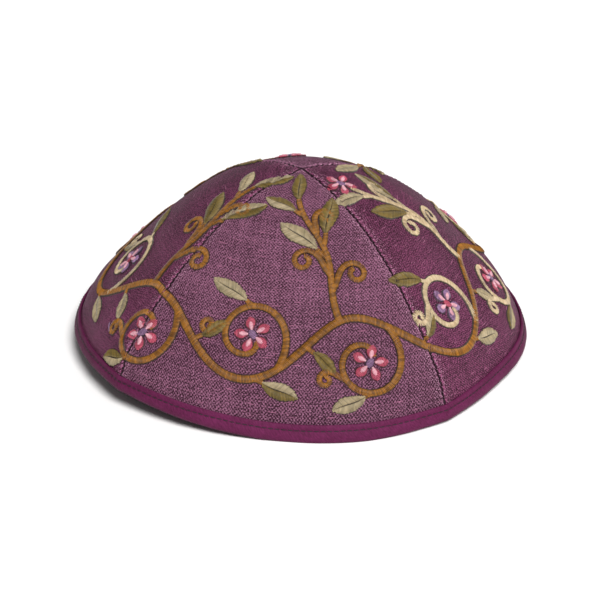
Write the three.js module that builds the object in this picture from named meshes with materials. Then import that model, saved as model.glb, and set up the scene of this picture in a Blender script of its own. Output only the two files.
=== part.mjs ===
// A sewn skullcap. Four cloth panels meet in four seams at the crown, and a strip of bias binding
// is folded over the rim. Millimetres, +Z up. The origin is the middle of the rim's outline, on the
// surface that the cap rests on, and the front panel faces -Y, with +X to its right.
import * as THREE from "three";

// Driving sizes, in millimetres
const rimRadius = 85.5; // from the crown's axis to the panels' outer face, down at the rim
const rise = 71.6; // from the surface up to the crown
const rimLift = 7.1; // how far the rim arches up off the surface where it does so most
const crownRight = 0.8; // where the crown's axis stands, from the middle of the rim's outline
const crownBack = -0.2;
const panelWall = 1.0; // silk with its stiffener
const bindingWall = 1.0; // two layers of folded strip on each face
const bindingWidth = 6.4; // how far the binding reaches up the wall
const clearance = 0.3; // between the binding and the cloth inside it
const seamGap = 0.3; // between two panels, all along their seam
const seamDip = 0.6; // how far a seam draws the cloth in
const seamRoll = 3.5; // how far from the seam the cloth starts to roll in
const crownHole = 0.6; // radius that the four panel tips leave free

const panelCount = 4;
const panelHalfAngle = Math.PI / panelCount;
const panelNames = ["panel_front", "panel_right", "panel_back", "panel_left"];

// The wall from the rim to the crown, in even steps of its length. out is a share of rimRadius, up
// is a share of rise, and square says how far the section is drawn out into a corner at each seam,
// from 0, a circle, to 1, a square. The first row and the last only steer the curve's ends.
const wallRows = [
  { out: 0.962, up: -0.206, square: 0.1 },
  { out: 1.0, up: 0.0, square: 0.11 },
  { out: 0.962, up: 0.206, square: 0.2 },
  { out: 0.869, up: 0.372, square: 0.27 },
  { out: 0.753, up: 0.525, square: 0.3 },
  { out: 0.63, up: 0.668, square: 0.27 },
  { out: 0.493, up: 0.794, square: 0.21 },
  { out: 0.341, up: 0.896, square: 0.16 },
  { out: 0.18, up: 0.97, square: 0.12 },
  { out: 0.0, up: 1.0, square: 0.1 },
  { out: -0.18, up: 0.985, square: 0.1 },
];

// The rim in even steps from the middle of the front panel round by the right. reach is a share of
// rimRadius and lift a share of rimLift. The cap rests on the front and the back of its rim.
const rimRows = [
  { at: "front", reach: 0.972, lift: 0.0 },
  { at: "front, to the right", reach: 0.997, lift: 0.0 },
  { at: "front right seam", reach: 0.975, lift: 0.11 },
  { at: "right, to the front", reach: 0.971, lift: 0.2 },
  { at: "right", reach: 1.009, lift: 0.21 },
  { at: "right, to the back", reach: 1.023, lift: 0.2 },
  { at: "back right seam", reach: 1.023, lift: 0.15 },
  { at: "back, to the right", reach: 0.997, lift: 0.0 },
  { at: "back", reach: 0.977, lift: 0.0 },
  { at: "back, to the left", reach: 0.995, lift: 0.0 },
  { at: "back left seam", reach: 1.026, lift: 0.24 },
  { at: "left, to the back", reach: 1.042, lift: 0.53 },
  { at: "left", reach: 1.029, lift: 0.77 },
  { at: "left, to the front", reach: 1.008, lift: 1.0 },
  { at: "front left seam", reach: 0.993, lift: 0.99 },
  { at: "front, to the left", reach: 0.985, lift: 0.48 },
];

// How finely the solids are faceted
const panelColumns = 24;
const panelRows = 18;
const normalStep = 0.03; // radians and shares of the wall, wide enough to see both sides of a seam

// A smooth curve through four even values, from b to c as t goes from 0 to 1.
function between(a, b, c, d, t) {
  return b + 0.5 * t * (c - a + t * (2 * a - 5 * b + 4 * c - d + t * (3 * (b - c) + d - a)));
}

function alongWall(column, along) {
  const steps = wallRows.length - 3;
  const place = Math.min(Math.max(along, 0), 1) * steps;
  const row = Math.min(Math.floor(place), steps - 1);
  const [a, b, c, d] = wallRows.slice(row, row + 4).map((values) => values[column]);
  return between(a, b, c, d, place - row);
}

function roundRim(column, azimuth) {
  const steps = rimRows.length;
  const place = THREE.MathUtils.euclideanModulo((azimuth / (2 * Math.PI)) * steps, steps);
  const row = Math.floor(place);
  const [a, b, c, d] = [-1, 0, 1, 2].map((step) => rimRows[(row + step + steps) % steps][column]);
  return between(a, b, c, d, place - row);
}

// The angle from the middle of the panel that an azimuth falls in.
function fromPanelMiddle(azimuth) {
  const turn = THREE.MathUtils.euclideanModulo(azimuth + panelHalfAngle, 2 * panelHalfAngle);
  return turn - panelHalfAngle;
}

// How far the panels' outer face stands from the crown's axis. Azimuth runs from the front (-Y)
// towards +X, and along runs from 0 at the rim's fold to 1 at the crown.
function faceRadius(azimuth, along) {
  const corner = Math.cos(panelHalfAngle) / Math.cos(fromPanelMiddle(azimuth));
  const reach = 1 + (roundRim("reach", azimuth) - 1) * (1 - along);
  return rimRadius * alongWall("out", along) * reach * corner ** alongWall("square", along);
}

function facePoint(azimuth, along) {
  const radius = faceRadius(azimuth, along);
  const lift = rimLift * roundRim("lift", azimuth) * (1 - along) ** 2;
  return new THREE.Vector3(
    crownRight + radius * Math.sin(azimuth),
    crownBack - radius * Math.cos(azimuth),
    rise * alongWall("up", along) + lift,
  );
}

function faceNormal(azimuth, along) {
  const low = Math.max(along - normalStep, 0);
  const high = Math.min(along + normalStep, 1);
  const across = facePoint(azimuth + normalStep, along).sub(
    facePoint(azimuth - normalStep, along),
  );
  const upward = facePoint(azimuth, high).sub(facePoint(azimuth, low));
  return across.cross(upward).normalize();
}

// A point off the outer face by a distance, outwards where it is positive.
function wallPoint(azimuth, along, distance) {
  return faceNormal(azimuth, along).multiplyScalar(distance).add(facePoint(azimuth, along));
}

// The length of the wall along a seam, found by adding up short steps.
function measuredWallLength() {
  const steps = 200;
  let length = 0;
  for (let step = 0; step < steps; step++) {
    const start = facePoint(panelHalfAngle, step / steps);
    length += start.distanceTo(facePoint(panelHalfAngle, (step + 1) / steps));
  }
  return length;
}
const wallLength = measuredWallLength();

// How far the face is drawn in at a distance from the seam. The binding holds the rim flat, and the
// dip fades out where the four seams meet.
function seamDipAt(fromSeam, along, radius) {
  const roll = Math.max(0, 1 - fromSeam / seamRoll);
  const aboveBinding = THREE.MathUtils.smoothstep(
    along * wallLength,
    bindingWidth,
    bindingWidth + 2 * seamRoll,
  );
  const beforeCrown = THREE.MathUtils.smoothstep(radius, seamRoll, 4 * seamRoll);
  return seamDip * roll * roll * aboveBinding * beforeCrown;
}

// One panel: a box of columns and rows, bent onto the wall between two seams.
function panelGeometry(middle) {
  const box = new THREE.BoxGeometry(2, 1, 1, panelColumns, panelRows, 1);
  const place = box.getAttribute("position");
  const foot = (bindingWall + clearance) / wallLength;
  const slope = wallRows.at(-3).out * (wallRows.length - 3); // how fast the radius shrinks there
  const tip = 1 - crownHole / (rimRadius * slope);
  for (let i = 0; i < place.count; i++) {
    const along = foot + (tip - foot) * (place.getY(i) + 0.5);
    const across = place.getX(i);
    const seamRadius = faceRadius(middle + Math.sign(across) * panelHalfAngle, along);
    const halfAngle = panelHalfAngle - Math.asin(seamGap / 2 / seamRadius);
    const turn = across * halfAngle;
    const radius = faceRadius(middle + turn, along);
    const fromSeam = radius * Math.sin(panelHalfAngle - Math.abs(turn));
    const inward = seamDipAt(fromSeam, along, radius) + (place.getZ(i) < 0 ? panelWall : 0);
    const point = wallPoint(middle + turn, along, -inward);
    place.setXYZ(i, point.x, point.y, point.z);
  }
  return box;
}

// The binding's section: how far off the panels' outer face each corner is, and how far up the wall
// from the fold. It runs down the outer leg, round the fold, up the inner leg and back down inside.
function bindingSection() {
  const outer = clearance + bindingWall;
  const inner = -panelWall - outer;
  const fold = outer; // the fold's radius at both its corners
  const middle = (fold + bindingWidth) / 2;
  const rounds = [1, 2].map((step) => (step * Math.PI) / 6);
  return [
    [outer, bindingWidth],
    [outer, middle],
    [outer, fold],
    ...rounds.map((turn) => [outer - fold + fold * Math.cos(turn), fold - fold * Math.sin(turn)]),
    [outer - fold, 0],
    [inner + fold, 0],
    ...rounds.map((turn) => [inner + fold - fold * Math.sin(turn), fold - fold * Math.cos(turn)]),
    [inner, fold],
    [inner, middle],
    [inner, bindingWidth],
    [inner + bindingWall, bindingWidth],
    [inner + bindingWall, middle],
    [inner + bindingWall, bindingWall],
    [outer - bindingWall, bindingWall],
    [outer - bindingWall, middle],
    [outer - bindingWall, bindingWidth],
    [outer, bindingWidth],
  ];
}

// The binding: a turned ring of that section, bent onto the rim and flattened where it rests.
function bindingGeometry() {
  const profile = bindingSection().map(([off, up]) => new THREE.Vector2(rimRadius + off, up));
  const ring = new THREE.LatheGeometry(profile.reverse(), panelCount * panelColumns);
  const place = ring.getAttribute("position");
  for (let i = 0; i < place.count; i++) {
    const azimuth = Math.atan2(place.getX(i), place.getZ(i));
    const off = Math.hypot(place.getX(i), place.getZ(i)) - rimRadius;
    const point = wallPoint(azimuth, place.getY(i) / wallLength, off);
    place.setXYZ(i, point.x, point.y, Math.max(point.z, 0));
  }
  return ring;
}

const silk = new THREE.MeshStandardMaterial({ color: "#76495f", roughness: 0.6, metalness: 0 });
const cottonSateen = new THREE.MeshStandardMaterial({
  color: "#6b314f",
  roughness: 0.7,
  metalness: 0,
});

const cap = new THREE.Group();
panelNames.forEach((name, turn) => {
  const panel = new THREE.Mesh(panelGeometry(turn * 2 * panelHalfAngle), silk);
  panel.name = name;
  cap.add(panel);
});
const binding = new THREE.Mesh(bindingGeometry(), cottonSateen);
binding.name = "rim_binding";
cap.add(binding);

export default cap;
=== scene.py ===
# A sewn skullcap of purple raw silk with an embroidered vine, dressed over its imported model
import math
import random

import bmesh
import bpy
from mathutils import Matrix, Vector, noise


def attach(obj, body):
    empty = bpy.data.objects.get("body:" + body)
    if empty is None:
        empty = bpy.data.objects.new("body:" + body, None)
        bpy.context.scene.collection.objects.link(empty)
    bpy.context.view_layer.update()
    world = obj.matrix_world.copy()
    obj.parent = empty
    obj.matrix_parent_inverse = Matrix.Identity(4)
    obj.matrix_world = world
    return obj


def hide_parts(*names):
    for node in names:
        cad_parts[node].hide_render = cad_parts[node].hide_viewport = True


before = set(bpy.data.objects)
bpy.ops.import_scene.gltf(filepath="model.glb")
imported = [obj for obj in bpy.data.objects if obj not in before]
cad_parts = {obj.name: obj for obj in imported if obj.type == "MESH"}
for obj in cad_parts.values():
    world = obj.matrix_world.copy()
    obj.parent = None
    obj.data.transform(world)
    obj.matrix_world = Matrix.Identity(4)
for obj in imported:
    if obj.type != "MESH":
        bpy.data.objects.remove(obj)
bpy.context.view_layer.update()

mm = 0.001
chance = random.Random(18)

# The cap's shape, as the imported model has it. Everything in millimetres until a mesh is written.
cap = {
    "rimRadius": 85.5,  # from the crown's axis to the silk at the rim
    "rise": 71.6,  # from the table up to the crown
    "rimLift": 7.1,  # how far the rim arches off the table where it does so most
    "crownRight": 0.8,
    "crownBack": -0.2,
    "wallLength": 118.0,  # over the silk from the rim to the crown
}
panelHalf = math.pi / 4

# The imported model's two tables. A separate program fitted the rim's numbers, the radius and the
# rise to the photograph's outline, seams and binding, and corrected the wall's. All are rounded.
# Even steps up the wall: shares of the radius and of the rise, and how square the section is
wallRows = [
    {"out": 0.962, "up": -0.206, "square": 0.1},
    {"out": 1.0, "up": 0.0, "square": 0.11},
    {"out": 0.962, "up": 0.206, "square": 0.2},
    {"out": 0.869, "up": 0.372, "square": 0.27},
    {"out": 0.753, "up": 0.525, "square": 0.3},
    {"out": 0.63, "up": 0.668, "square": 0.27},
    {"out": 0.493, "up": 0.794, "square": 0.21},
    {"out": 0.341, "up": 0.896, "square": 0.16},
    {"out": 0.18, "up": 0.97, "square": 0.12},
    {"out": 0.0, "up": 1.0, "square": 0.1},
    {"out": -0.18, "up": 0.985, "square": 0.1},
]

# Even steps round the rim, from the front by the right: shares of the radius and of the lift
rimRows = [
    {"at": "front", "reach": 0.972, "lift": 0.0},
    {"at": "front, to the right", "reach": 0.997, "lift": 0.0},
    {"at": "front right seam", "reach": 0.975, "lift": 0.11},
    {"at": "right, to the front", "reach": 0.971, "lift": 0.2},
    {"at": "right", "reach": 1.009, "lift": 0.21},
    {"at": "right, to the back", "reach": 1.023, "lift": 0.2},
    {"at": "back right seam", "reach": 1.023, "lift": 0.15},
    {"at": "back, to the right", "reach": 0.997, "lift": 0.0},
    {"at": "back", "reach": 0.977, "lift": 0.0},
    {"at": "back, to the left", "reach": 0.995, "lift": 0.0},
    {"at": "back left seam", "reach": 1.026, "lift": 0.24},
    {"at": "left, to the back", "reach": 1.042, "lift": 0.53},
    {"at": "left", "reach": 1.029, "lift": 0.77},
    {"at": "left, to the front", "reach": 1.008, "lift": 1.0},
    {"at": "front left seam", "reach": 0.993, "lift": 0.99},
    {"at": "front, to the left", "reach": 0.985, "lift": 0.48},
]


def between(a, b, c, d, t):
    # a smooth curve through four even values, from b to c
    return b + 0.5 * t * (c - a + t * (2 * a - 5 * b + 4 * c - d + t * (3 * (b - c) + d - a)))


def alongWall(column, along):
    steps = len(wallRows) - 3
    place = min(max(along, 0.0), 1.0) * steps
    row = min(int(place), steps - 1)
    return between(*(wallRows[row + k][column] for k in range(4)), place - row)


def roundRim(column, azimuth):
    steps = len(rimRows)
    place = azimuth / (2 * math.pi) * steps
    row = math.floor(place)
    return between(*(rimRows[(row + k) % steps][column] for k in (-1, 0, 1, 2)), place - row)


def smoothStep(value, low, high):
    t = min(max((value - low) / (high - low), 0.0), 1.0)
    return t * t * (3 - 2 * t)


def fromPanelMiddle(azimuth):
    return (azimuth + panelHalf) % (2 * panelHalf) - panelHalf


def faceRadius(azimuth, along):
    corner = math.cos(panelHalf) / math.cos(fromPanelMiddle(azimuth))
    reach = 1 + (roundRim("reach", azimuth) - 1) * (1 - along)
    return cap["rimRadius"] * alongWall("out", along) * reach * corner ** alongWall("square", along)


def facePoint(azimuth, along):
    radius = faceRadius(azimuth, along)
    lift = cap["rimLift"] * roundRim("lift", azimuth) * (1 - along) ** 2
    return Vector((
        cap["crownRight"] + radius * math.sin(azimuth),
        cap["crownBack"] - radius * math.cos(azimuth),
        cap["rise"] * alongWall("up", along) + lift,
    ))


def faceDirections(azimuth, along, step=0.03):
    # millimetres for each radian across and for each share of the wall up, and the way out
    low, high = max(along - step, 0.0), min(along + step, 1.0)
    across = (facePoint(azimuth + step, along) - facePoint(azimuth - step, along)) / (2 * step)
    upward = (facePoint(azimuth, high) - facePoint(azimuth, low)) / (high - low)
    return across, upward, across.cross(upward).normalized()


# How the sewn silk departs from that smooth face
silk = {
    "wall": 0.9,
    "foot": 1.3,  # how far up the wall the panels start, inside the binding's fold
    "tip": 0.35,  # what they leave free at the crown
    "columns": 128,
    "rows": 190,
    "edgeCrowding": 0.108,  # how much finer the columns are beside the seams
    "seamGap": 0.02,
    "seamDepth": 1.25,
    "seamReach": 0.5,
    "stitchLength": 2.3,
    "stitchPucker": 0.24,
    "puckerReach": 2.4,
    "puckerUneven": 1.8,  # the part of the pucker that is left to chance
    "puckerDrift": 4.5,  # how soon that part changes along the seam
    "dents": 0.7,
    "dentSize": 24.0,
    "dentMargin": 8.0,  # the dents fade out this near to a seam
    "hemHeight": 6.4,  # the binding holds the silk flat below this
    "hemFade": (-1, 4),  # where the silk comes free, from that height
    "calmCrown": (1.0, 7.0),  # the puckers fade out between these radii
    "clothSpacing": 400,  # between two panels in the cloth's UVs
}


def seamDistance(azimuth, along):
    return faceRadius(azimuth, along) * math.sin(panelHalf - abs(fromPanelMiddle(azimuth)))


def clothRise(azimuth, along):
    radius = faceRadius(azimuth, along)
    height = along * cap["wallLength"]
    fromSeam = seamDistance(azimuth, along)
    hemStart, hemEnd = (silk["hemHeight"] + fade for fade in silk["hemFade"])
    free = smoothStep(height, hemStart, hemEnd)
    beforeCrown = smoothStep(radius, *silk["calmCrown"])
    spot = facePoint(azimuth, along)
    dent = silk["dents"] * noise.noise(spot / silk["dentSize"])
    dent *= smoothStep(fromSeam, 0, silk["dentMargin"])
    roll = math.exp(-fromSeam / silk["seamReach"])
    near = math.exp(-((fromSeam / silk["puckerReach"]) ** 2))
    pucker = math.cos(2 * math.pi * height / silk["stitchLength"])
    uneven = noise.noise(Vector((height / silk["puckerDrift"], spot.x / 40, spot.y / 40)))
    pucker += silk["puckerUneven"] * uneven
    sewn = -silk["seamDepth"] * roll + silk["stitchPucker"] * near * pucker
    return free * (dent + sewn * beforeCrown)


def clothPoint(azimuth, along, height=0.0):
    normal = faceDirections(azimuth, along)[2]
    return facePoint(azimuth, along) + normal * (clothRise(azimuth, along) + height)


def bentGrid(columns, rows, place):
    # a flat grid whose corners go where place(x, y) says, both from 0 to 1, with UVs in millimetres
    # and, as fromEdge, how far each corner is from the nearest seam or fold
    grid = bmesh.new()
    bmesh.ops.create_grid(grid, x_segments=columns, y_segments=rows, size=0.5)
    uvMap = grid.loops.layers.uv.new("cloth")
    fromEdge = grid.verts.layers.float.new("fromEdge")
    spots = {}
    for vert in grid.verts:
        spots[vert] = place(vert.co.x + 0.5, vert.co.y + 0.5)
    for face in grid.faces:
        for loop in face.loops:
            loop[uvMap].uv = spots[loop.vert][1]
    for vert, (spot, uv, edge) in spots.items():
        vert.co = spot * mm
        vert[fromEdge] = edge
    return grid


def finishMesh(grid, name, material):
    for face in grid.faces:
        face.smooth = True
    mesh = bpy.data.meshes.new(name)
    grid.to_mesh(mesh)
    grid.free()
    piece = bpy.data.objects.new(name, mesh)
    bpy.context.scene.collection.objects.link(piece)
    mesh.materials.append(material)
    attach(piece, "root")
    return piece


# Materials
def linear(hexColour):
    parts = [int(hexColour[i:i + 2], 16) / 255 for i in (1, 3, 5)]
    return [p / 12.92 if p <= 0.04045 else ((p + 0.055) / 1.055) ** 2.4 for p in parts] + [1.0]


def addNode(tree, kind, settings=None, inputs=None):
    node = tree.nodes.new(kind)
    for key, value in (settings or {}).items():
        setattr(node, key, value)
    for key, value in (inputs or {}).items():
        if isinstance(value, bpy.types.NodeSocket):
            tree.links.new(value, node.inputs[key])
        else:
            node.inputs[key].default_value = value
    return node


def newMaterial(name):
    material = bpy.data.materials.new(name)
    material.use_nodes = True
    tree = material.node_tree
    tree.nodes.clear()
    output = addNode(tree, "ShaderNodeOutputMaterial")
    shader = addNode(tree, "ShaderNodeBsdfPrincipled")
    tree.links.new(shader.outputs["BSDF"], output.inputs["Surface"])
    return material, tree, shader


def blend(tree, low, high, amount):
    mix = addNode(tree, "ShaderNodeMix", {"data_type": "RGBA", "clamp_factor": True}, {
        6: low, 7: high, 0: amount,
    })
    return mix.outputs[2]


def calculate(tree, operation, a, b=0.0, c=0.0):
    return addNode(tree, "ShaderNodeMath", {"operation": operation}, {0: a, 1: b, 2: c}).outputs[0]


def stretchedNoise(tree, coords, across, up, detail=2.0):
    # noise whose grains are across by up millimetres
    scaled = addNode(tree, "ShaderNodeMapping", {}, {
        "Vector": coords, "Scale": (1 / across, 1 / up, 1 / across),
    })
    grain = addNode(tree, "ShaderNodeTexNoise", {}, {
        "Vector": scaled.outputs[0], "Scale": 1.0, "Detail": detail, "Roughness": 0.55,
    })
    return grain.outputs["Fac"]


def stretch(tree, value, low, high, toLow=0.0, toHigh=1.0):
    return addNode(tree, "ShaderNodeMapRange", {}, {
        "Value": value, "From Min": low, "From Max": high, "To Min": toLow, "To Max": toHigh,
    }).outputs[0]


def threadWave(tree, place, pitch):
    # swings from -1 to 1 once over each thread, changing sign from one thread to the next
    return calculate(tree, "SINE", calculate(tree, "MULTIPLY", place, math.pi / pitch))


def threadTone(tree, place, pitch):
    # one chance value for each thread
    number = calculate(tree, "FLOOR", calculate(tree, "DIVIDE", place, pitch))
    return addNode(tree, "ShaderNodeTexWhiteNoise", {"noise_dimensions": "1D"}, {
        "W": number,
    }).outputs["Value"]


# The silk's weave. Sizes are in millimetres, the rest are shares of its tone from dark to light
weave = {
    "warpPitch": 0.62,
    "weftPitch": 0.7,
    "wanderSize": 1.9,  # from one small bend of the threads to the next
    "warpBend": 1.0,
    "weftBend": -0.9,
    "ground": 0.42,
    "crossing": 0.24,  # over and under
    "threads": 0.09,  # one tone for each thread
    "fleck": 1.6,
    "fleckSize": (0.62, 0.5),
    "weftTone": 0.3,
    "weftSize": (3.5, 0.6),
    "warpTone": 0.25,
    "warpSize": (0.6, 4.5),
    "cloud": 0.3,
    "cloudSize": (26.0, 20.0),
    "slubSize": (8.0, 0.62),
    "darkest": 1.54,
    "brightest": 2.0,
    # painted shade and light: the side panels a little darker, and a tone that changes from the rim
    # to the crown, one way on the front and back panels and the other way on the sides
    "paintedSideShade": -0.165,
    "paintedRimShade": -0.12,
    "paintedCrownLight": 0.09,
    "sideLightReverse": -1.8,
    "seamHighlightLow": 0.4,  # the painted highlight beside a seam, and its swing with the stitches
    "seamHighlightSwing": 0.35,
    "yarn": "#8b5a74",
    # the side panels' yarn, darker and redder: painted shade
    "sideShadeYarn": "#8b476b",
    "pits": "#2b131f",
    "slubs": "#a0647f",
    "glints": "#c79bb0",
    # painted shade in the seams' grooves
    "groove": "#12060e",
}


def rawSilkMaterial():
    # raw silk, plain woven from uneven yarn: a dry, broken sheen, pale slubs along the weft,
    # painted glints as bright flecks, and dark pits between the threads. The threads lie 0.6 to 0.7
    # mm apart, coarser than real ones, so that a render of this size still shows them. Painted
    # shade makes the side panels a little darker and redder, and darker towards the crown; painted
    # light makes the front and back panels lighter towards the crown and darker at the rim.
    material, tree, shader = newMaterial("raw silk, plain woven")
    coords = addNode(tree, "ShaderNodeUVMap", {"uv_map": "cloth"}).outputs[0]
    flat = addNode(tree, "ShaderNodeSeparateXYZ", {}, {0: coords})
    wander = stretchedNoise(tree, coords, weave["wanderSize"], weave["wanderSize"], 3.0)
    across = calculate(tree, "MULTIPLY_ADD", wander, weave["warpBend"], flat.outputs[0])
    upward = calculate(tree, "MULTIPLY_ADD", wander, weave["weftBend"], flat.outputs[1])
    warp, weft = weave["warpPitch"], weave["weftPitch"]
    crossing = calculate(
        tree, "MULTIPLY", threadWave(tree, across, warp), threadWave(tree, upward, weft),
    )
    tones = calculate(
        tree, "ADD", threadTone(tree, across, warp), threadTone(tree, upward, weft),
    )
    fleck = stretchedNoise(tree, coords, *weave["fleckSize"], 2.0)
    parts = (
        (crossing, weave["crossing"]),
        (tones, weave["threads"]),
        (fleck, weave["fleck"]),
        (stretchedNoise(tree, coords, *weave["weftSize"], 2.0), weave["weftTone"]),
        (stretchedNoise(tree, coords, *weave["warpSize"], 2.0), weave["warpTone"]),
        (stretchedNoise(tree, coords, *weave["cloudSize"], 2.0), weave["cloud"]),
    )
    woven = weave["ground"]
    for part, share in parts:
        woven = calculate(tree, "MULTIPLY_ADD", part, share, woven)
    tone = stretch(tree, woven, weave["darkest"], weave["brightest"])

    # which panel this is, and how high up its wall, for the painted shade and painted light below
    panel = calculate(
        tree, "MULTIPLY_ADD", flat.outputs[0], 1 / silk["clothSpacing"], 0.5,
    )
    sideways = calculate(tree, "MODULO", calculate(tree, "FLOOR", panel), 2.0)
    # painted shade: the side panels a little darker
    tone = calculate(tree, "MULTIPLY_ADD", sideways, weave["paintedSideShade"], tone)
    # painted light and shade up the wall: the front and back panels darker at the rim and lighter
    # towards the crown, the side panels the other way round
    climb = stretch(
        tree, flat.outputs[1], 0.0, cap["wallLength"], weave["paintedRimShade"], weave["paintedCrownLight"],
    )
    climbLightSign = calculate(tree, "MULTIPLY_ADD", sideways, weave["sideLightReverse"], 1.0)
    tone = calculate(tree, "MULTIPLY_ADD", climb, climbLightSign, tone)

    # painted highlight beside a seam, swinging with the stitches, and painted shade in its groove
    fromEdge = addNode(tree, "ShaderNodeAttribute", {"attribute_name": "fromEdge"}).outputs["Fac"]
    grooveShade = stretch(tree, fromEdge, 0.22, 0.6, 0.95, 0.0)
    seamLight = calculate(
        tree, "MULTIPLY", stretch(tree, fromEdge, 0.4, 0.8), stretch(tree, fromEdge, 1.7, 0.9),
    )
    stitches = calculate(tree, "SINE", calculate(
        tree, "MULTIPLY", flat.outputs[1], 2 * math.pi / silk["stitchLength"],
    ))
    ladder = calculate(tree, "MULTIPLY_ADD", stitches, weave["seamHighlightSwing"], weave["seamHighlightLow"])
    tone = calculate(tree, "ADD", calculate(tree, "MULTIPLY", seamLight, ladder), tone)

    slub = stretchedNoise(tree, coords, *weave["slubSize"], 1.0)
    slubAmount = stretch(tree, slub, 0.66, 0.75, 0.0, 0.8)
    # painted glints: sparse bright flecks, with more of them beside the seams
    besideSeam = stretch(tree, fromEdge, 4.5, 0.8, 0.0, 0.75)
    seamGlint = calculate(tree, "MULTIPLY", besideSeam, stretch(tree, fleck, 0.56, 0.66))
    glint = calculate(tree, "ADD", stretch(tree, fleck, 0.66, 0.78, 0.0, 0.6), seamGlint)
    # painted shade: the side panels' yarn is darker and redder
    yarn = blend(tree, linear(weave["yarn"]), linear(weave["sideShadeYarn"]), sideways)
    colour = blend(tree, linear(weave["pits"]), yarn, tone)
    colour = blend(tree, colour, linear(weave["slubs"]), slubAmount)
    # painted glints
    colour = blend(tree, colour, linear(weave["glints"]), glint)
    # painted shade in the seams' grooves
    colour = blend(tree, colour, linear(weave["groove"]), grooveShade)
    height = calculate(tree, "MULTIPLY_ADD", slubAmount, 0.5, tone)
    bump = addNode(tree, "ShaderNodeBump", {}, {
        "Strength": 0.8, "Distance": 0.22 * mm, "Height": height,
    }).outputs[0]
    tree.links.new(colour, shader.inputs["Base Color"])
    tree.links.new(bump, shader.inputs["Normal"])
    shader.inputs["Roughness"].default_value = 0.62
    shader.inputs["Sheen Weight"].default_value = 0.04
    shader.inputs["Sheen Roughness"].default_value = 0.5
    shader.inputs["Sheen Tint"].default_value = linear("#d79ab8")
    shader.inputs["Specular IOR Level"].default_value = 0.1
    return material


def sateenMaterial():
    # cotton sateen on the bias: smooth and even, with a fine slanting grain and a soft bloom
    material, tree, shader = newMaterial("cotton sateen, bias cut")
    coords = addNode(tree, "ShaderNodeUVMap", {"uv_map": "cloth"}).outputs[0]
    slanted = addNode(tree, "ShaderNodeMapping", {}, {
        "Vector": coords, "Rotation": (0.0, 0.0, math.radians(45)),
    }).outputs[0]
    fleck = stretchedNoise(tree, slanted, 0.4, 1.6)
    cloudy = stretchedNoise(tree, coords, 14.0, 5.0)
    tone = calculate(tree, "MULTIPLY_ADD", fleck, 1.0, calculate(tree, "MULTIPLY", cloudy, 0.5))
    tone = stretch(tree, tone, 0.5, 1.0)
    colour = blend(tree, linear("#45122f"), linear("#622048"), tone)
    bump = addNode(tree, "ShaderNodeBump", {}, {
        "Strength": 0.4, "Distance": 0.08 * mm, "Height": tone,
    }).outputs[0]
    tree.links.new(colour, shader.inputs["Base Color"])
    tree.links.new(bump, shader.inputs["Normal"])
    shader.inputs["Roughness"].default_value = 0.66
    shader.inputs["Sheen Weight"].default_value = 0.04
    shader.inputs["Sheen Roughness"].default_value = 0.4
    shader.inputs["Sheen Tint"].default_value = linear("#b0608c")
    shader.inputs["Specular IOR Level"].default_value = 0.12
    return material


def threadMaterial(name, dark, light, share, roughness=0.42):
    # spun rayon: bright and smooth, with painted shade where both ends of a stitch dive into the
    # cloth.
    # share says where this strand lies between the colour's dark and light.
    material, tree, shader = newMaterial(name)
    texture = addNode(tree, "ShaderNodeTexCoord")
    strand = addNode(tree, "ShaderNodeTexNoise", {}, {
        "Vector": texture.outputs["Object"], "Scale": 1 / (1.5 * mm), "Detail": 1.0,
    }).outputs["Fac"]
    tone = stretch(tree, strand, 0.25, 0.75, share - 0.2, share + 0.2)
    lengthways = addNode(tree, "ShaderNodeSeparateXYZ", {}, {0: texture.outputs["UV"]}).outputs[0]
    fromMiddle = calculate(tree, "ABSOLUTE", calculate(tree, "SUBTRACT", lengthways, 0.5))
    # painted shade towards both ends of the thread, where it dives into the cloth
    endShade = stretch(tree, fromMiddle, 0.25, 0.34, 0.0, 0.94)
    colour = blend(tree, linear(dark), linear(light), tone)
    tree.links.new(blend(tree, colour, linear("#14060c"), endShade), shader.inputs["Base Color"])
    shader.inputs["Roughness"].default_value = roughness
    shader.inputs["Sheen Weight"].default_value = 0.1
    shader.inputs["Specular IOR Level"].default_value = 0.4
    return material


def threadMaterials(name, dark, light, roughness=0.42):
    # three strands of one colour, so that neighbouring stitches tell apart
    tones = (("dark", 0.3), ("middle", 0.5), ("light", 0.7))
    return [
        threadMaterial(f"{name}, {tone}", dark, light, share, roughness) for tone, share in tones
    ]


rawSilk = rawSilkMaterial()
sateen = sateenMaterial()
sewingThread = threadMaterials("polyester sewing thread, spun", "#12040c", "#260b1c", 0.7)
print("materials ready")


# The four panels
def makePanel(side, turn):
    middle = turn * 2 * panelHalf
    foot = silk["foot"] / cap["wallLength"]
    tip = 1 - silk["tip"] / cap["wallLength"]
    crowding = silk["edgeCrowding"]

    def place(x, y):
        along = foot + (tip - foot) * y
        share = 2 * x - 1
        share = (1 + crowding) * share - crowding * share ** 9
        seamRadius = faceRadius(middle + math.copysign(panelHalf, share), along)
        half = panelHalf - math.asin(min(silk["seamGap"] / 2 / seamRadius, 0.5))
        azimuth = middle + share * half
        across = share * half * faceRadius(azimuth, along)
        uv = (across + silk["clothSpacing"] * turn, along * cap["wallLength"])
        return clothPoint(azimuth, along), uv, seamDistance(azimuth, along)

    grid = bentGrid(silk["columns"], silk["rows"], place)
    area = sum(face.calc_area() for face in grid.faces)
    piece = finishMesh(grid, "silk_panel_" + side, rawSilk)
    wall = piece.modifiers.new("wall", "SOLIDIFY")
    wall.thickness = silk["wall"] * mm
    wall.offset = -1.0
    wall.use_even_offset = True
    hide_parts("panel_" + side)
    print("panel", side, round(area * 1e4, 1), "cm2")


for turn, side in enumerate(("front", "right", "back", "left")):
    makePanel(side, turn)


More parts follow.
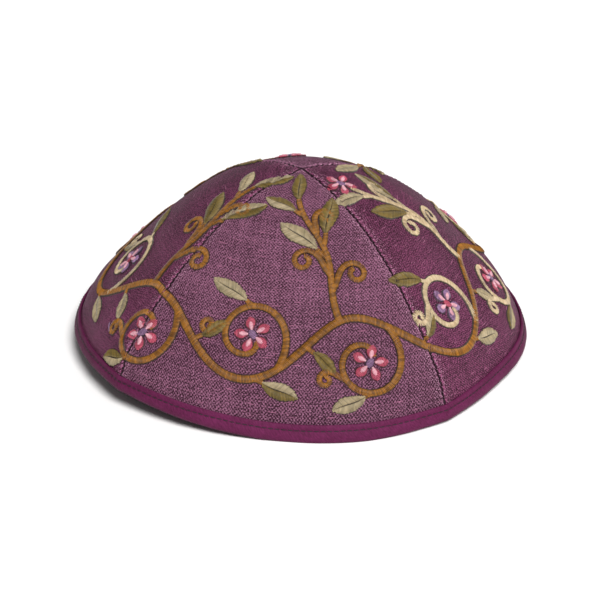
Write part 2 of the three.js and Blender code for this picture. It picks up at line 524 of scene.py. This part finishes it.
# The bias binding, folded over the rim
binding = {
    "stitches": 222,
    "columnsPerStitch": 4,
    "stitchHeight": 4.5,
    "stitchPinch": 0.1,
    "pinchReach": 0.6,
    "ripple": 0.14,
    "rippleSize": 6,
    "outerFace": 0.3,  # the strip is free to ripple further off the silk than this,
    "innerFace": -1.4,  # and inside the cap beyond this
    "middle": -0.5,
    "threadWidth": 0.34,
    "threadOffs": (1.1, -2.14),  # the stitches on either face
    "threadLift": 0.08,
    "threadBow": 0.14,
}

# The strip's section: off the silk's face and up the wall, down the outside and back up inside
stripRows = [
    {"off": 0.3, "up": 6.35},
    {"off": 0.62, "up": 6.5},
    {"off": 0.98, "up": 6.38},
    {"off": 1.12, "up": 6.0},
    {"off": 1.14, "up": 5.4},
    {"off": 1.12, "up": 4.95},
    {"off": 1.1, "up": 4.5},
    {"off": 1.14, "up": 4.05},
    {"off": 1.24, "up": 3.4},
    {"off": 1.3, "up": 2.5},
    {"off": 1.24, "up": 1.5},
    {"off": 1.0, "up": 0.72},
    {"off": 0.5, "up": 0.18},
    {"off": -0.1, "up": 0.0},
    {"off": -0.9, "up": 0.0},
    {"off": -1.5, "up": 0.18},
    {"off": -2.0, "up": 0.72},
    {"off": -2.22, "up": 1.5},
    {"off": -2.28, "up": 2.5},
    {"off": -2.22, "up": 3.6},
    {"off": -2.14, "up": 4.5},
    {"off": -2.14, "up": 5.4},
    {"off": -2.06, "up": 6.2},
    {"off": -1.7, "up": 6.45},
    {"off": -1.3, "up": 6.3},
    {"off": -1.25, "up": 1.1},
    {"off": 0.22, "up": 1.1},
]


def evenAzimuths(count, along):
    # azimuths that divide the way round into equal lengths
    fine = 1440
    marks = [0.0]
    for step in range(fine):
        start = facePoint(2 * math.pi * step / fine, along)
        marks.append(marks[-1] + (facePoint(2 * math.pi * (step + 1) / fine, along) - start).length)
    azimuths = []
    step = 0
    for k in range(count + 1):
        wanted = marks[-1] * k / count
        while step < fine - 1 and marks[step + 1] < wanted:
            step += 1
        share = (wanted - marks[step]) / (marks[step + 1] - marks[step])
        azimuths.append(2 * math.pi * (step + share) / fine)
    return azimuths, marks[-1]


bindingColumns = binding["stitches"] * binding["columnsPerStitch"]
rimAzimuths, rimLength = evenAzimuths(bindingColumns, 0.03)


def stripPoint(column, off, up, raised=0.0):
    # a point of the binding, pulled in along its stitching and a little rippled
    whole = int(column)
    azimuth = rimAzimuths[whole % bindingColumns]
    azimuth += (column - whole) * 2 * math.pi / bindingColumns
    along = up / cap["wallLength"]
    outward = 1 if off > binding["middle"] else -1
    pull = math.exp(-(((up - binding["stitchHeight"]) / binding["pinchReach"]) ** 2))
    phase = column / binding["columnsPerStitch"]
    pull *= 0.65 + 0.35 * math.cos(2 * math.pi * phase)
    spot = facePoint(azimuth, along) / binding["rippleSize"] + Vector((0, 0, 0.5 * up))
    change = binding["ripple"] * noise.noise(spot) - binding["stitchPinch"] * pull
    if binding["outerFace"] < off or off < binding["innerFace"]:
        off += outward * (change + raised)
    point = facePoint(azimuth, along) + faceDirections(azimuth, along)[2] * off
    point.z = max(point.z, 0.0)
    return point


def makeBinding():
    rows = len(stripRows)
    # how far round the strip's section the grain has come, counted from its second row
    lengths = [0.0]
    for before, after in zip(stripRows, stripRows[1:]):
        step = math.hypot(after["off"] - before["off"], after["up"] - before["up"])
        lengths.append(lengths[-1] + step)

    def place(x, y):
        column = round(x * bindingColumns)
        row = round(y * rows)
        strip = stripRows[row % rows]
        grain = (x * rimLength, lengths[max(row - 1, 0)])
        spot = stripPoint(column % bindingColumns, strip["off"], strip["up"])
        return spot, grain, 10.0  # far from any seam

    grid = bentGrid(bindingColumns, rows, place)
    bmesh.ops.remove_doubles(grid, verts=grid.verts[:], dist=0.01 * mm)
    bmesh.ops.recalc_face_normals(grid, faces=grid.faces[:])
    piece = finishMesh(grid, "bias_binding", sateen)
    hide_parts("rim_binding")


makeBinding()
print("binding", round(rimLength), "mm round")


def makeThreads(name, threads, width, materials):
    # each thread is a short open spline with a round section, in one of the colour's strands
    curve = bpy.data.curves.new(name, "CURVE")
    curve.dimensions = "3D"
    curve.bevel_depth = width / 2 * mm
    curve.bevel_resolution = 0
    curve.use_fill_caps = True
    for material in materials:
        curve.materials.append(material)
    for points in threads:
        spline = curve.splines.new("POLY")
        spline.points.add(len(points) - 1)
        flat = []
        for point in points:
            flat += [point.x * mm, point.y * mm, point.z * mm, 1.0]
        spline.points.foreach_set("co", flat)
        spline.use_smooth = True
        spline.material_index = chance.randrange(len(materials))
    piece = bpy.data.objects.new(name, curve)
    bpy.context.scene.collection.objects.link(piece)
    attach(piece, "root")


def makeTopstitching():
    bow = ((0.14, -0.3), (0.26, 0.6), (0.5, 1.0), (0.74, 0.6), (0.86, -0.3))
    threads = []
    for number in range(binding["stitches"]):
        for off in binding["threadOffs"]:
            points = []
            for share, height in bow:
                column = (number + share + 0.5) * binding["columnsPerStitch"]
                raised = binding["threadBow"] * height + binding["threadLift"]
                points.append(stripPoint(column, off, binding["stitchHeight"], raised))
            threads.append(points)
    makeThreads("topstitching", threads, binding["threadWidth"], sewingThread)


makeTopstitching()


# The short bars of thread that close each seam, deep in its groove
seamBar = {
    "width": 0.28,
    "halfLength": 0.55,
    "slant": 0.002,
    "fromHem": 1.0,
    "fromCrown": 4,
}


def makeSeamStitches():
    bow = ((-1, -0.12), (-0.5, 0.1), (0.5, 0.1), (1, -0.12))
    threads = []
    for seam in range(4):
        azimuth = (2 * seam + 1) * panelHalf
        height = silk["hemHeight"] + seamBar["fromHem"]
        while height < cap["wallLength"] - seamBar["fromCrown"]:
            along = height / cap["wallLength"]
            angle = seamBar["halfLength"] / faceRadius(azimuth, along)
            threads.append([
                clothPoint(azimuth + share * angle, along + share * seamBar["slant"], raised)
                for share, raised in bow
            ])
            height += silk["stitchLength"]
    makeThreads("seam_stitches", threads, seamBar["width"], sewingThread)


makeSeamStitches()
print("sewing done")


# The embroidery: a running vine with volutes, leaves and rosettes, in satin stitch
stitch = {
    "pitch": 0.5,
    "width": 0.47,
    "crown": 0.62,  # how high a satin column stands
    "bite": -0.1,  # how far a stitch goes into the cloth at its ends
    "ragged": 0.1,
    "uneven": 0.07,  # from one thread's height to the next
}
vine = {
    "waves": 5,
    "height": 32.0,
    "swing": 12.5,
    "turn": math.radians(24),
    "width": 3.3,
    "branchWidth": 3.05,
    "tendrilWidth": 2.6,
    "stalkWidth": 2.1,
    "voluteRosette": 12.5,
    "sprayRosette": 11.0,
    "pale": ((45, 135), (262, 285)),  # degrees round the cap where the branches are cream
}
threadsByPiece = {}


def moved(azimuth, along, move):
    # where a step over the silk leads, the step given as a vector along the surface
    across, upward, _ = faceDirections(azimuth, along)
    aa, uu, au = across.dot(across), upward.dot(upward), across.dot(upward)
    ma, mu = move.dot(across), move.dot(upward)
    size = aa * uu - au * au
    return azimuth + (ma * uu - mu * au) / size, along + (mu * aa - ma * au) / size


def bendAt(moves, distance):
    # radians for each millimetre, easing from one move's bend to the next
    starts = [0.0]
    for move in moves:
        starts.append(starts[-1] + move[0])
    middles = [(a + b) / 2 for a, b in zip(starts, starts[1:])]
    bends = [math.radians(move[1]) / move[0] for move in moves]
    if distance <= middles[0]:
        return bends[0]
    for k in range(len(middles) - 1):
        if distance < middles[k + 1]:
            share = (distance - middles[k]) / (middles[k + 1] - middles[k])
            return bends[k] + share * (bends[k + 1] - bends[k])
    return bends[-1]


def walk(station, lean, moves, mirror=1):
    # a path over the silk. Each move is a length in millimetres and a turn in degrees, and turns
    # and the lean go to the right where they are positive, or to the left if mirror is -1.
    azimuth, along, heading = station
    normal = faceDirections(azimuth, along)[2]
    heading = Matrix.Rotation(-math.radians(lean) * mirror, 3, normal) @ heading
    total = sum(move[0] for move in moves)
    steps = max(2, round(total / stitch["pitch"]))
    pitch = total / steps
    stations = []
    for step in range(steps + 1):
        stations.append((azimuth, along, heading))
        bend = bendAt(moves, step * pitch) * pitch * mirror
        azimuth, along = moved(azimuth, along, heading * pitch)
        normal = faceDirections(azimuth, along)[2]
        heading = Matrix.Rotation(-bend, 3, normal) @ heading
        heading = (heading - normal * heading.dot(normal)).normalized()
    return stations


def layThread(station, reach, slant, rows, piece):
    # one thread across a column. rows are shares of the reach to the right, and heights.
    azimuth, along, heading = station
    normal = faceDirections(azimuth, along)[2]
    side = heading.cross(normal)
    way = side + heading * math.tan(math.radians(slant))
    raised = chance.uniform(-stitch["uneven"], stitch["uneven"])
    points = []
    for share, height in rows:
        spot = moved(azimuth, along, way * (share * reach))
        points.append(clothPoint(*spot, height + raised))
    threadsByPiece.setdefault(piece, []).append(points)


def satinRows(crown, dip=1.0):
    # a satin column's section. dip lowers its middle, where a column is stitched down.
    high = stitch["crown"] * crown
    bite = stitch["bite"]
    return ((-1, bite), (-0.68, 0.75 * high), (0, high * dip), (0.68, 0.75 * high), (1, bite))


def stitchStem(stations, width, piece, taper=0.75):
    last = len(stations) - 1
    for k, station in enumerate(stations):
        wide = width * (1 + (taper - 1) * k / last) / 2
        wide += chance.uniform(-1, 1) * stitch["ragged"]
        layThread(station, wide, 12, satinRows(0.8 + 0.2 * wide / 1.5, 0.86), piece)


def stitchLeaf(station, lean, mirror, length, width, pieces, bend=22):
    # a pointed leaf, each half stitched on a slant from the midrib to the edge
    stations = walk(station, lean, [(length * 0.5, bend), (length * 0.5, -bend)], mirror)
    last = len(stations) - 1
    high = stitch["crown"]
    for side, piece in ((1, pieces[0]), (-1, pieces[1])):
        for k, spot in enumerate(stations):
            share = (k + 0.4) / (last + 0.8)
            wide = width / 2 * math.sin(math.pi * share ** 0.8) ** 0.8
            wide = max(wide + chance.uniform(-1, 1) * 2 * stitch["ragged"], 0.3)
            rows = (
                (0.0, 0.2 * high),
                (0.13, 0.9 * high),
                (0.84, 0.8 * high),
                (1, stitch["bite"]),
            )
            rows = tuple((reach * side, height) for reach, height in rows)
            layThread(spot, wide, 30 * side, rows, piece)


def stitchPetal(station, lean, length, width, piece, crown=1.0):
    stations = walk(station, lean, [(length, 0)])
    last = len(stations) - 1
    for k, spot in enumerate(stations):
        share = (k + 0.5) / (last + 1)
        wide = width / 2 * math.sin(math.pi * share ** 1.25) ** 0.7
        layThread(spot, max(wide, 0.3), 8, satinRows(crown), piece)


def stitchRosette(station, size, outer="rose", inner="pink", eye="lilac"):
    # five petals, each with a bar of another colour, round a small eye
    for petal in range(5):
        start = walk(station, 72 * petal + 20, [(0.15 * size, 0)])[-1]
        stitchPetal(start, 0, 0.37 * size, 0.37 * size, "rosettes " + outer, crown=1.1)
        stitchPetal(start, 0, 0.22 * size, 0.15 * size, "rosettes " + inner, crown=1.9)
    eyeHalf = 0.13 * size
    start = walk(station, 180, [(eyeHalf, 0)])[-1]
    across = walk(start, 180, [(2 * eyeHalf, 0)])
    for k, spot in enumerate(across):
        share = (k + 0.5) / len(across)
        wide = eyeHalf * math.sin(math.pi * share) ** 0.5
        layThread(spot, wide, 0, satinRows(1.7), "rosettes " + eye)


# Paths over the silk, as millimetres and degrees
curl = [(5, -20), (6, 62), (6, 100), (5, 118), (5, 150)]
volute = [(9, 25), (13, 55), (14, 72), (14, 84), (10, 74), (6, 90)]
spray = [(16, 26), (18, -44), (18, 34)]


def stitchTendril(station, lean, mirror, piece, size):
    moves = [(length * size, turn) for length, turn in curl]
    stitchStem(walk(station, lean, moves, mirror), vine["tendrilWidth"], piece, 0.85)


def stitchStalk(station, lean, mirror, piece, pair, length, width, stalk):
    # a leaf on a short stalk of its own
    path = walk(station, lean, [(stalk, -18)], mirror)
    stitchStem(path, vine["stalkWidth"], piece, 0.85)
    stitchLeaf(path[-1], 0, mirror, length, width, ["leaves " + colour for colour in pair])


def waveStation(azimuth):
    def alongAt(a):
        swing = vine["swing"] * math.cos(vine["waves"] * (a - vine["turn"]))
        return (vine["height"] + swing) / cap["wallLength"]

    step = 0.002
    ahead = facePoint(azimuth + step, alongAt(azimuth + step))
    behind = facePoint(azimuth - step, alongAt(azimuth - step))
    return azimuth, alongAt(azimuth), (ahead - behind).normalized()


def makeWave():
    azimuth = 0.0
    stations = []
    while azimuth < 2 * math.pi:
        station = waveStation(azimuth)
        stations.append(station)
        azimuth = moved(station[0], station[1], station[2] * stitch["pitch"])[0]
    stitchStem(stations, vine["width"], "wave ochre", 1.0)


greens = (("sage", "sage"), ("olive", "olive"), ("olive", "sage"))


def paleAt(azimuth):
    return any(low < math.degrees(azimuth) % 360 < high for low, high in vine["pale"])


def makeVolutes():
    for half in range(2 * vine["waves"]):
        middle = vine["turn"] + half * math.pi / vine["waves"]
        mirror = 1 if half % 2 == 0 else -1
        piece = "volutes cream" if paleAt(middle) else "volutes ochre"
        path = walk(waveStation(middle + 0.3 * math.pi / vine["waves"]), 26, volute, mirror)
        stitchStem(path, vine["branchWidth"], piece, 0.8)
        centre = walk(path[-1], 20, [(3.0, 0)], mirror)[-1]
        if half % 3 == 1:
            stitchRosette(centre, vine["voluteRosette"], "lilac", "pink", "rose")
        else:
            stitchRosette(centre, vine["voluteRosette"])
        count = len(path)
        lean, length = (-12, 12.5) if mirror == 1 else (-30, 15.0)
        stitchStalk(
            path[int(0.47 * count)], lean, mirror, piece, greens[half % 3],
            length=length, width=6.2, stalk=3.5,
        )
        stitchTendril(path[int(0.64 * count)], 42, -mirror, piece, size=0.75)
        stitchStalk(
            waveStation(middle - 0.45 * math.pi / vine["waves"]), 92, mirror, "wave ochre",
            greens[(half + 1) % 3], length=10.5, width=5.0, stalk=3.5,
        )
        if mirror == -1:
            stitchStalk(
                waveStation(middle + 0.12 * math.pi / vine["waves"]), -26, mirror, "wave ochre",
                greens[(half + 2) % 3], length=14.0, width=6.4, stalk=3.5,
            )


# What grows from a spray, at shares of its length
sprayTendrils = [
    {"at": 0.22, "lean": 36, "mirror": 1, "size": 1.15},
    {"at": 0.34, "lean": 36, "mirror": -1, "size": 1.15},
    {"at": 0.66, "lean": 34, "mirror": 1, "size": 0.9},
]
sprayLeaves = [
    {"at": 0.46, "lean": 42, "mirror": -1, "length": 17.0, "width": 7.2, "stalk": 5.5},
    {"at": 0.56, "lean": 42, "mirror": 1, "length": 17.0, "width": 7.2, "stalk": 5.5},
    {"at": 0.84, "lean": 40, "mirror": -1, "length": 13.0, "width": 5.6, "stalk": 4.0},
]


def makeSprays():
    for crest in range(vine["waves"]):
        azimuth = vine["turn"] + (2 * crest - 0.12) * math.pi / vine["waves"]
        piece = "sprays cream" if paleAt(azimuth) else "sprays ochre"
        path = walk(waveStation(azimuth), -88, spray)
        stitchStem(path, vine["branchWidth"], piece, 0.7)
        count = len(path)
        for tendril in sprayTendrils:
            station = path[int(tendril["at"] * count)]
            stitchTendril(station, tendril["lean"], tendril["mirror"], piece, tendril["size"])
        for k, leaf in enumerate(sprayLeaves):
            stitchStalk(
                path[int(leaf["at"] * count)], leaf["lean"], leaf["mirror"], piece,
                greens[(crest + k) % 3], leaf["length"], leaf["width"], leaf["stalk"],
            )
        if crest % 2 == 0:
            pair = ["leaves " + colour for colour in greens[(crest + 1) % 3]]
            stitchLeaf(path[-1], 0, 1, 15.0, 6.0, pair, bend=16)
        else:
            stitchRosette(walk(path[-1], 0, [(4.0, 0)])[-1], vine["sprayRosette"])


makeWave()
makeVolutes()
makeSprays()

threadColours = {
    "ochre": ("#4f2d06", "#a46b17"),
    "cream": ("#9a8260", "#d4bf9b"),
    "olive": ("#453a14", "#80692f"),
    "sage": ("#72674c", "#ae9c7b"),
    "rose": ("#8a2c44", "#bf5168"),
    "pink": ("#bb7f8e", "#dfadb6"),
    "lilac": ("#664767", "#987398"),
}
strands = {}
for name, threads in threadsByPiece.items():
    part, colour = name.split()
    dark, light = threadColours[colour]
    if colour not in strands:
        strands[colour] = threadMaterials("rayon embroidery thread, " + colour, dark, light)
    makeThreads(part + "_" + colour, threads, stitch["width"], strands[colour])
    print(part, colour, len(threads), "threads")


# A short end of pale thread that lies on the left panel, low down and near the front seam
looseEnd = [
    {"azimuth": -59.6, "height": 20.0, "raised": -0.1},
    {"azimuth": -58.8, "height": 19.2, "raised": 0.5},
    {"azimuth": -57.8, "height": 18.2, "raised": 0.7},
    {"azimuth": -56.6, "height": 17.2, "raised": 0.6},
    {"azimuth": -56.0, "height": 16.6, "raised": 0.2},
]


def makeLooseThread():
    points = []
    for end in looseEnd:
        along = end["height"] / cap["wallLength"]
        points.append(clothPoint(math.radians(end["azimuth"]), along, end["raised"]))
    makeThreads("loose_thread", [points], binding["threadWidth"], strands["lilac"][2:])


makeLooseThread()
print("embroidery done")


# Studio
studio = {"floor": 6.0, "floorColour": "#f7f6f5", "air": 0.2}
suns = [
    {"name": "front key", "energy": 4.0, "place": (0.5, -1.3, 1.6), "spread": 24},
    {"name": "fill", "energy": 0.6, "place": (1.4, -0.6, 0.8), "spread": 40},
]


def makeFloor():
    floor = bmesh.new()
    bmesh.ops.create_grid(floor, x_segments=1, y_segments=1, size=studio["floor"] / 2)
    mesh = bpy.data.meshes.new("floor")
    floor.to_mesh(mesh)
    floor.free()
    plane = bpy.data.objects.new("floor", mesh)
    bpy.context.scene.collection.objects.link(plane)
    material, _, shader = newMaterial("painted floor, matt white")
    shader.inputs["Base Color"].default_value = linear(studio["floorColour"])
    shader.inputs["Roughness"].default_value = 0.9
    mesh.materials.append(material)


def addSun(name, energy, place, spread):
    lamp = bpy.data.lights.new(name, "SUN")
    lamp.energy = energy
    lamp.angle = math.radians(spread)
    light = bpy.data.objects.new(name, lamp)
    light.location = place
    light.rotation_euler = Vector(place).to_track_quat("Z", "Y").to_euler()
    bpy.context.scene.collection.objects.link(light)


makeFloor()
for sun in suns:
    addSun(sun["name"], sun["energy"], sun["place"], sun["spread"])

world = bpy.data.worlds.new("studio air")
world.use_nodes = True
world.node_tree.nodes["Background"].inputs["Color"].default_value = (1, 1, 1, 1)
world.node_tree.nodes["Background"].inputs["Strength"].default_value = studio["air"]
bpy.context.scene.world = world

# Camera, at the photograph's angle
view = {
    "azimuth": 6.3,
    "elevation": 25.6,
    "distance": 1.5,
    "width": 0.22455,  # what the frame spans at that distance
    "target": (0.0002, -0.0002, 0.0179),
    "sensor": 36,
}
lens = bpy.data.cameras.new("camera")
lens.sensor_width = view["sensor"]
lens.lens = view["sensor"] * view["distance"] / view["width"]
camera = bpy.data.objects.new("camera", lens)
azimuth, elevation = math.radians(view["azimuth"]), math.radians(view["elevation"])
away = Vector((
    math.sin(azimuth) * math.cos(elevation),
    -math.cos(azimuth) * math.cos(elevation),
    math.sin(elevation),
))
camera.location = Vector(view["target"]) + away * view["distance"]
camera.rotation_euler = away.to_track_quat("Z", "Y").to_euler()
bpy.context.scene.collection.objects.link(camera)
bpy.context.scene.camera = camera
bpy.context.scene.view_settings.view_transform = "Standard"
print("studio ready")
